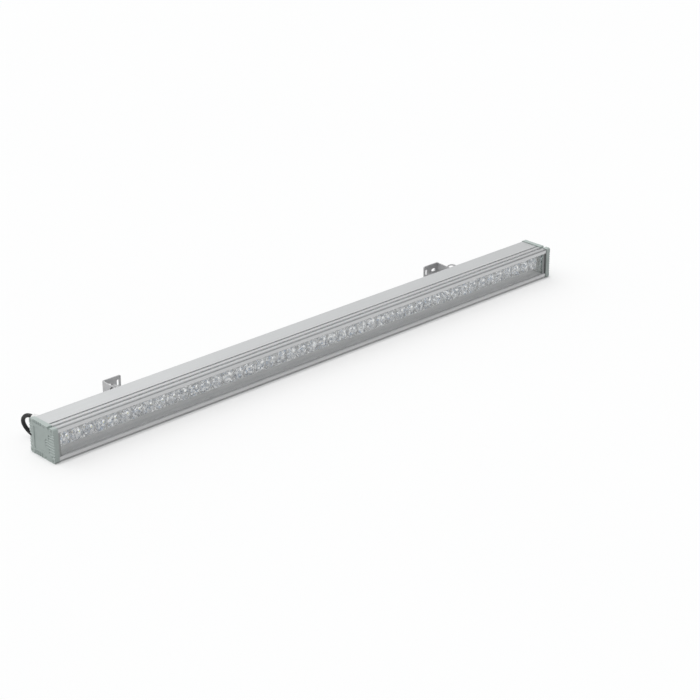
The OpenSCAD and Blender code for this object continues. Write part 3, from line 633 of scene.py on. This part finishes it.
def from_lens_middle(g):
    """Place of a point as seen from the middle of the front of its own lens."""
    split = g.node("SeparateXYZ", {0: g.place()})
    along = g.math("SUBTRACT", split.outputs[0], LENS_FIRST_X - LENS_PITCH / 2)
    along = g.math("SUBTRACT", g.math("FLOORED_MODULO", along, LENS_PITCH), LENS_PITCH / 2)
    behind = g.math("SUBTRACT", split.outputs[1], LENS_FRONT_Y)
    up = g.math("SUBTRACT", split.outputs[2], LENS_HEIGHT)
    return along, behind, up


def spot_share(g, middle, radius):
    """One within the radius of a spot that every lens has at the same place."""
    along, behind, up = from_lens_middle(g)
    here = g.node("CombineXYZ", {0: along, 1: behind, 2: up}).outputs[0]
    away = g.node("VectorMath", {0: here, 1: middle}, operation="DISTANCE").outputs["Value"]
    return g.ramp(away, radius, SPOT_CORE_SHARE * radius)


def led_package():
    made, g = new_material("led")
    along, _, up = from_lens_middle(g)
    radius = g.math("SQRT", g.math("ADD", g.math("MULTIPLY", along, along), g.math("MULTIPLY", up, up)))
    glow = g.noise(g.place(), scale=2000.0, detail=2.0)
    chip = g.mix_colour(glow, PHOSPHOR_DARK, PHOSPHOR_LIGHT)
    body = g.mix_colour(glow, PACKAGE_DARK, PACKAGE_LIGHT)
    colour = g.mix_colour(g.ramp(radius, *PHOSPHOR_EDGE), chip, body)
    g.finish(
        g.principled(
            Base_Color=colour,
            Roughness=g.spread(glow, to_low=0.18, to_high=0.30),
            Normal=g.bump(glow, strength=0.05, distance=0.00005),
        )
    )
    return made


def lens_plastic():
    """Outer skin and rim of a lens, clear plastic that shows a little of what is behind it, with near-black
    painted shade on its lower sides between lenses.
    """
    made, g = new_material("lens")
    ripples = g.noise(g.place(), scale=700.0, detail=2.0)
    clear = g.node("BsdfTransparent", {"Color": LENS_CLEAR}).outputs[0]
    body = g.principled(
        Base_Color=g.mix_colour(ripples, LENS_DARK, LENS_LIGHT),
        Roughness=g.spread(ripples, to_low=0.10, to_high=0.22),
        Normal=g.bump(ripples, strength=0.1, distance=0.0001),
    )
    slant = g.node("LayerWeight", {"Blend": 0.5}).outputs["Facing"]
    share = g.ramp(g.math("POWER", slant, 2.0), 0.0, 1.0, *SKIN_SHARES, "LINEAR")
    # Near-black painted shade on the lower sides of each lens, beside and below its middle
    along, _, up = from_lens_middle(g)
    beside = g.ramp(g.math("ABSOLUTE", along), *FLANK_BESIDE)
    dark = g.math("MULTIPLY", beside, g.ramp(up, *FLANK_BELOW))
    flank_shade = g.principled(Base_Color=FLANK_PAINTED_SHADE, Roughness=0.3)
    skin = g.node("MixShader", {0: share, 1: clear, 2: body}).outputs[0]
    g.finish(g.node("MixShader", {0: dark, 1: skin, 2: flank_shade}).outputs[0])
    return made


def lens_cells(g):
    """Random numbers that differ from one cell of painted and glossy reflection in a lens to the next."""
    cells = g.node("TexVoronoi", {"Vector": g.place(), "Scale": IMAGE_SCALE, "Randomness": 1.0})
    return cells.outputs["Color"]


def lens_facets():
    """The cone of a lens as it is seen from the front, painted with broken reflections of what is round it.
    """
    made, g = new_material("lens_facets")
    pick = g.node("SeparateColor", {0: lens_cells(g)}).outputs[0]
    fine = g.noise(g.place(), scale=1500.0, detail=1.0)
    colour = FACET_COLOUR
    # Cells of painted reflection over the pale facets
    for level, painted_reflection in PAINTED_REFLECTIONS_IN_LENS:
        colour = g.mix_colour(g.ramp(pick, level, level - IMAGE_EDGE), colour, painted_reflection)
    g.finish(
        g.principled(
            Base_Color=colour,
            Metallic=0.45,
            Roughness=g.spread(fine, to_low=0.05, to_high=0.15),
            Normal=g.bump(pick, strength=0.35, distance=0.0004),
        )
    )
    return made


def lens_front():
    """The front of a lens: clear, with glossy patches that send back what is before the light, tinted blue
    or dark as painted reflection, with a painted highlight and a painted reflection of the chip.
    """
    made, g = new_material("lens_front")
    cells = lens_cells(g)
    picks = g.node("SeparateColor", {0: cells}).outputs
    clear = g.node("BsdfTransparent", {"Color": FRONT_CLEAR}).outputs[0]
    # Blue and dark tints on the glossy cells: painted reflection over the rendered gloss
    colour = g.mix_colour(g.ramp(picks[1], *BLUE_PICKS), FRONT_PALE, FRONT_PAINTED_BLUE)
    colour = g.mix_colour(g.ramp(picks[1], *DARK_PICKS), colour, FRONT_PAINTED_DARK)
    lean = g.node("VectorMath", {0: cells, 1: MIDDLE_PICK}, operation="SUBTRACT").outputs[0]
    tilt = g.node("VectorMath", {0: lean, "Scale": FRONT_TILT}, operation="SCALE").outputs[0]
    # Painted highlight: a white mirror spot at the same place in every lens, turned to face the front so
    # that it shows the bright floor
    sky = spot_share(g, PAINTED_HIGHLIGHT, PAINTED_HIGHLIGHT_RADIUS)
    # Painted reflection of the LED chip: a yellow spot at the same place in every lens, fading along the
    # row
    along = g.node("SeparateXYZ", {0: g.place()}).outputs[0]
    fading = g.ramp(along, CHIPS_FROM, CHIPS_TO, 1.0, CHIPS_LEAST)
    chip = g.math("MULTIPLY", spot_share(g, PAINTED_CHIP_REFLECTION, PAINTED_CHIP_REFLECTION_RADIUS), fading)
    colour = g.mix_colour(sky, colour, WHITE)
    colour = g.mix_colour(chip, colour, PAINTED_CHIP_COLOUR)
    steady = g.math("MAXIMUM", sky, chip)
    tilt = g.node("Mix", {0: steady, 4: tilt, 5: (0.0, 0.0, 0.0)}, data_type="VECTOR").outputs[1]
    turned = g.node("VectorMath", {0: tilt, 1: (0.0, -1.0, 0.0)}, operation="ADD").outputs[0]
    facing = g.node("VectorMath", {0: turned}, operation="NORMALIZE").outputs[0]
    gloss = g.node("BsdfGlossy", {"Color": colour, "Roughness": 0.06, "Normal": facing}).outputs[0]
    share = g.ramp(picks[0], *GLOSS_PICKS, FRONT_LEAST, FRONT_MOST)
    share = g.mix_value(steady, share, 1.0)
    g.finish(g.node("MixShader", {0: share, 1: clear, 2: gloss}).outputs[0])
    return made


def lens_bead():
    made, g = new_material("lens_bead")
    ripples = g.noise(g.place(), scale=900.0, detail=2.0)
    g.finish(
        g.principled(
            Base_Color=BEAD_CLEAR,
            Transmission_Weight=1.0,
            IOR=1.49,
            Roughness=g.spread(ripples, to_low=0.0, to_high=0.04),
        )
    )
    return made


def glass():
    made, g = new_material("glass")
    smear = g.noise(g.stretched(6.0, 30.0, 30.0), detail=3.0)
    pane = g.node("BsdfTransparent", {"Color": GLASS_CLEAR}).outputs[0]
    rough = g.ramp(smear, NOISE_LOW, NOISE_HIGH, 0.01, 0.05)
    gloss = g.node("BsdfGlossy", {"Color": WHITE, "Roughness": rough}).outputs[0]
    slant = g.node("LayerWeight", {"Blend": 0.5}).outputs["Facing"]
    share = g.ramp(g.math("POWER", slant, GLASS_POWER), 0.0, 1.0, GLASS_LEAST, 1.0, "LINEAR")
    g.finish(g.node("MixShader", {0: share, 1: pane, 2: gloss}).outputs[0])
    return made


# Scene parts


def link(made):
    bpy.context.scene.collection.objects.link(made)
    return made


def make_camera():
    data = bpy.data.cameras.new("photo_camera")
    data.lens = CAMERA_LENS
    data.sensor_width = CAMERA_SENSOR
    data.clip_start = 0.05
    data.clip_end = 300.0
    camera = link(bpy.data.objects.new("photo_camera", data))
    camera.location = CAMERA_PLACE
    camera.rotation_euler = [math.radians(turn) for turn in CAMERA_TURN]
    bpy.context.scene.camera = camera


def smooth_route(points, steps):
    """Points on a smooth line through the given ones."""
    spots = [Vector(p) for p in points]
    ends = [2 * spots[0] - spots[1], *spots, 2 * spots[-1] - spots[-2]]
    line = [spots[0]]
    for before, start, stop, after in zip(ends, ends[1:], ends[2:], ends[3:]):
        for step in range(1, steps + 1):
            t = step / steps
            line.append(
                0.5
                * (
                    2 * start
                    + (stop - before) * t
                    + (2 * before - 5 * start + 4 * stop - after) * t**2
                    + (3 * start - before - 3 * stop + after) * t**3
                )
            )
    return line


def make_tube(name, line, radius, material):
    curve = bpy.data.curves.new(name, "CURVE")
    curve.dimensions = "3D"
    curve.bevel_depth = radius
    curve.bevel_resolution = 5
    curve.use_fill_caps = True
    spline = curve.splines.new("POLY")
    spline.points.add(len(line) - 1)
    for point, spot in zip(spline.points, line):
        point.co = (*spot, 1.0)
    curve.materials.append(material)
    return link(bpy.data.objects.new(name, curve))


def make_lead(material):
    line = smooth_route(LEAD_ROUTE, STEPS_PER_SPAN)
    lead = make_tube("lead", line, LEAD_RADIUS, material)
    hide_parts("supply_lead")
    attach(lead, "light")


def add_ring(mesh, centre, radius, depth, turn):
    step = 2 * math.pi / LENS_SEGMENTS
    ring = []
    for number in range(LENS_SEGMENTS):
        angle = (number + turn) * step
        spot = Vector((radius * math.cos(angle), depth, radius * math.sin(angle)))
        ring.append(mesh.verts.new(centre + spot))
    return ring


def join_rings(mesh, first, second, first_turn, second_turn):
    count = len(first)
    for number in range(count):
        after = (number + 1) % count
        if first_turn == second_turn:
            mesh.faces.new((first[number], first[after], second[after], second[number]))
        elif second_turn > first_turn:
            mesh.faces.new((first[number], first[after], second[number]))
            mesh.faces.new((first[after], second[after], second[number]))
        else:
            mesh.faces.new((first[number], second[after], second[number]))
            mesh.faces.new((first[number], first[after], second[after]))


def close_ring(mesh, ring, spot):
    tip = mesh.verts.new(spot)
    count = len(ring)
    for number in range(count):
        mesh.faces.new((ring[number], ring[(number + 1) % count], tip))


def add_turned(mesh, centre, rows, kind, front_tip=None, back_tip=None):
    """Faceted skin through the rings of rows, closed to a point where a tip is given."""
    first = len(mesh.faces)
    rings = [add_ring(mesh, centre, *row) for row in rows]
    for number in range(len(rings) - 1):
        join_rings(mesh, rings[number], rings[number + 1], rows[number][2], rows[number + 1][2])
    if front_tip is not None:
        close_ring(mesh, rings[0], centre + Vector((0.0, front_tip, 0.0)))
    if back_tip is not None:
        close_ring(mesh, rings[-1], centre + Vector((0.0, back_tip, 0.0)))
    mesh.faces.ensure_lookup_table()
    for number in range(first, len(mesh.faces)):
        mesh.faces[number].material_index = kind


def rim_reach(angle):
    """Distance from a lens's middle to the edge of its square rim."""
    return min(RIM_HALF / max(abs(math.cos(angle)), abs(math.sin(angle))), RIM_CORNER)


def add_rim(mesh, centre):
    """Square rim round a lens: its front with a round hole, and its sides."""
    rows = ((False, RIM_FRONT), (True, RIM_FRONT), (True, RIM_BACK))
    rings = []
    for square, depth in rows:
        ring = []
        for number in range(RIM_SEGMENTS):
            angle = number * 2 * math.pi / RIM_SEGMENTS
            reach = rim_reach(angle) if square else RIM_HOLE
            spot = Vector((reach * math.cos(angle), depth, reach * math.sin(angle)))
            ring.append(mesh.verts.new(centre + spot))
        rings.append(ring)
    for kind, inner, outer in ((2, rings[0], rings[1]), (0, rings[1], rings[2])):
        for number in range(RIM_SEGMENTS):
            after = (number + 1) % RIM_SEGMENTS
            face = mesh.faces.new((inner[number], inner[after], outer[after], outer[number]))
            face.material_index = kind


def add_lens(mesh, centre):
    add_rim(mesh, centre)
    add_turned(mesh, centre, BODY_RINGS, 0)
    add_turned(mesh, centre, FACET_RINGS, 1)
    add_turned(mesh, centre, FRONT_RINGS, 2, back_tip=FRONT_TIP)
    add_turned(mesh, centre, BEAD_RINGS, 3, BEAD_TOP, BEAD_FOOT)


def make_lens_row(name, numbers, node, materials):
    mesh = bmesh.new()
    for number in numbers:
        add_lens(mesh, Vector((LENS_FIRST_X + number * LENS_PITCH, LENS_FRONT_Y, LENS_HEIGHT)))
    bmesh.ops.recalc_face_normals(mesh, faces=mesh.faces)
    data = bpy.data.meshes.new(name)
    mesh.to_mesh(data)
    mesh.free()
    for material in materials:
        data.materials.append(material)
    row = link(bpy.data.objects.new(name, data))
    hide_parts(node)
    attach(row, "light")


FINISHES = (
    ("anodised", anodised, ("housing",)),
    ("cap_plastic", cap_plastic, ("end_cap",)),
    ("rubber", rubber, ("end_gasket", "gland_seal", "feed_grommet")),
    ("silicone", silicone, ("glass_seal",)),
    ("screw_steel", painted_screw, ("cap_screws",)),
    ("screw_steel", screw_steel, ("board_screws", "slot_screws", "slot_nuts", "pivot_bolt", "pivot_nut")),
    ("screw_steel", screw_steel, ("lock_screw", "lock_washer", "lock_nut")),
    ("bracket_steel", brushed_plate, ("mount_bracket", "wall_bracket", "driver_tray")),
    ("glass", glass, ("front_glass",)),
    ("board_white", board_white, ("led_board",)),
    ("led", led_package, ("leds",)),
    ("lens", lens_plastic, ("lenses",)),
    ("white_plastic", white_plastic, ("gland_body", "gland_nut", "gland_locknut", "pivot_spacer")),
    ("white_plastic", white_plastic, ("board_link", "terminal_block")),
    ("board_green", board_green, ("driver_board",)),
    ("black_plastic", black_plastic, ("driver_parts",)),
    ("copper", copper, ("lead_cores",)),
    ("lead_black", lead_sheath, ("supply_lead", "feed_wires")),
)


def dress_nodes():
    made = {}
    for slot, build, stems in FINISHES:
        material = made.get(build.__name__) or build()
        made[build.__name__] = material
        for name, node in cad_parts.items():
            if not name.startswith(stems):
                continue
            for place in node.material_slots:
                place.link = "OBJECT"
                place.material = material
    return made


def shown_rays(g):
    path = g.node("LightPath").outputs
    both = g.math("ADD", path["Is Camera Ray"], path["Is Glossy Ray"])
    total = g.math("ADD", both, path["Is Transmission Ray"])
    return g.math("MINIMUM", total, 1.0)


def make_floor():
    made, g = new_material("studio_floor")
    faint = g.noise(g.place(), scale=1.5, detail=2.0)
    shown = g.mix_colour(faint, FLOOR_SHOWN, FLOOR_SHOWN_LIGHT)
    rays = shown_rays(g)
    colour = g.mix_colour(rays, FLOOR_LIT, shown)
    matt = g.node("BsdfDiffuse", {"Color": colour}).outputs[0]
    glow = g.node("Emission", {"Color": shown, "Strength": 1.0}).outputs[0]
    # Painted light: away from the light's footprint the floor glows for the rays that are shown, washing
    # out most of its cast shadow, which stays dark only close by
    spot = g.node("SeparateXYZ", {0: g.place()}).outputs
    middle = g.math("SUBTRACT", spot[1], LIGHT_MIDDLE_Y)
    beside = (
        g.math("MAXIMUM", g.math("SUBTRACT", g.math("ABSOLUTE", spot[0]), LIGHT_HALF_LENGTH), 0.0),
        g.math("MAXIMUM", g.math("SUBTRACT", g.math("ABSOLUTE", middle), LIGHT_HALF_DEPTH), 0.0),
    )
    away = g.math("SQRT", g.math("ADD", *(g.math("MULTIPLY", far, far) for far in beside)))
    share = g.math("MULTIPLY", rays, g.ramp(away, 0.0, FLOOR_FULL_SHADOW_REACH, 0.0, FLOOR_GLOW_SHARE))
    g.finish(g.node("MixShader", {0: share, 1: matt, 2: glow}).outputs[0])
    mesh = bmesh.new()
    bmesh.ops.create_circle(mesh, cap_ends=True, radius=FLOOR_RADIUS, segments=64)
    data = bpy.data.meshes.new("studio_floor")
    mesh.to_mesh(data)
    mesh.free()
    data.materials.append(made)
    link(bpy.data.objects.new("studio_floor", data))


def make_world():
    world = bpy.data.worlds.new("studio")
    g = Graph(world)
    facing = g.node("TexCoord").outputs["Generated"]
    towards = g.node("VectorMath", {0: facing, 1: Vector(SKY_FROM).normalized()}, operation="DOT_PRODUCT")
    near = g.ramp(towards.outputs["Value"], -1.0, 1.0, kind="LINEAR")
    soft_box = g.math("MULTIPLY", g.math("POWER", near, SKY_POWER), SKY_MORE)
    before = g.node("VectorMath", {0: facing, 1: Vector(FRONT_FROM).normalized()}, operation="DOT_PRODUCT")
    front = g.ramp(before.outputs["Value"], FRONT_LOW, 1.0, SKY_LEAST, SKY_LEAST + FRONT_MORE)
    sky = g.math("ADD", soft_box, front)
    flagged = g.node("VectorMath", {0: facing, 1: Vector(FLAG_FROM).normalized()}, operation="DOT_PRODUCT")
    flag = g.ramp(flagged.outputs["Value"], FLAG_LOW, FLAG_HIGH, 1.0, 1.0 - FLAG_SHARE)
    height = g.node("SeparateXYZ", {0: facing}).outputs[2]
    upward = g.ramp(height, HORIZON_LOW, HORIZON_HIGH)
    shown = g.mix_value(upward, HORIZON_SHOWN, g.math("MULTIPLY", sky, flag))
    level = g.mix_value(shown_rays(g), sky, shown)
    light = g.node("Background", {"Color": WORLD_COLOUR, "Strength": level})
    g.node("OutputWorld", {"Surface": light.outputs[0]})
    bpy.context.scene.world = world


make_camera()
finishes = dress_nodes()
make_lead(finishes["lead_sheath"])
lens_finishes = (finishes["lens_plastic"], lens_facets(), lens_front(), lens_bead())
lens_total = LENS_COUNT_LEFT + LENS_COUNT_RIGHT
make_lens_row("lens_row_left", range(LENS_COUNT_LEFT), "lenses_left", lens_finishes)
make_lens_row("lens_row_right", range(LENS_COUNT_LEFT, lens_total), "lenses_right", lens_finishes)
make_floor()
make_world()

bpy.context.scene.view_settings.view_transform = "Standard"
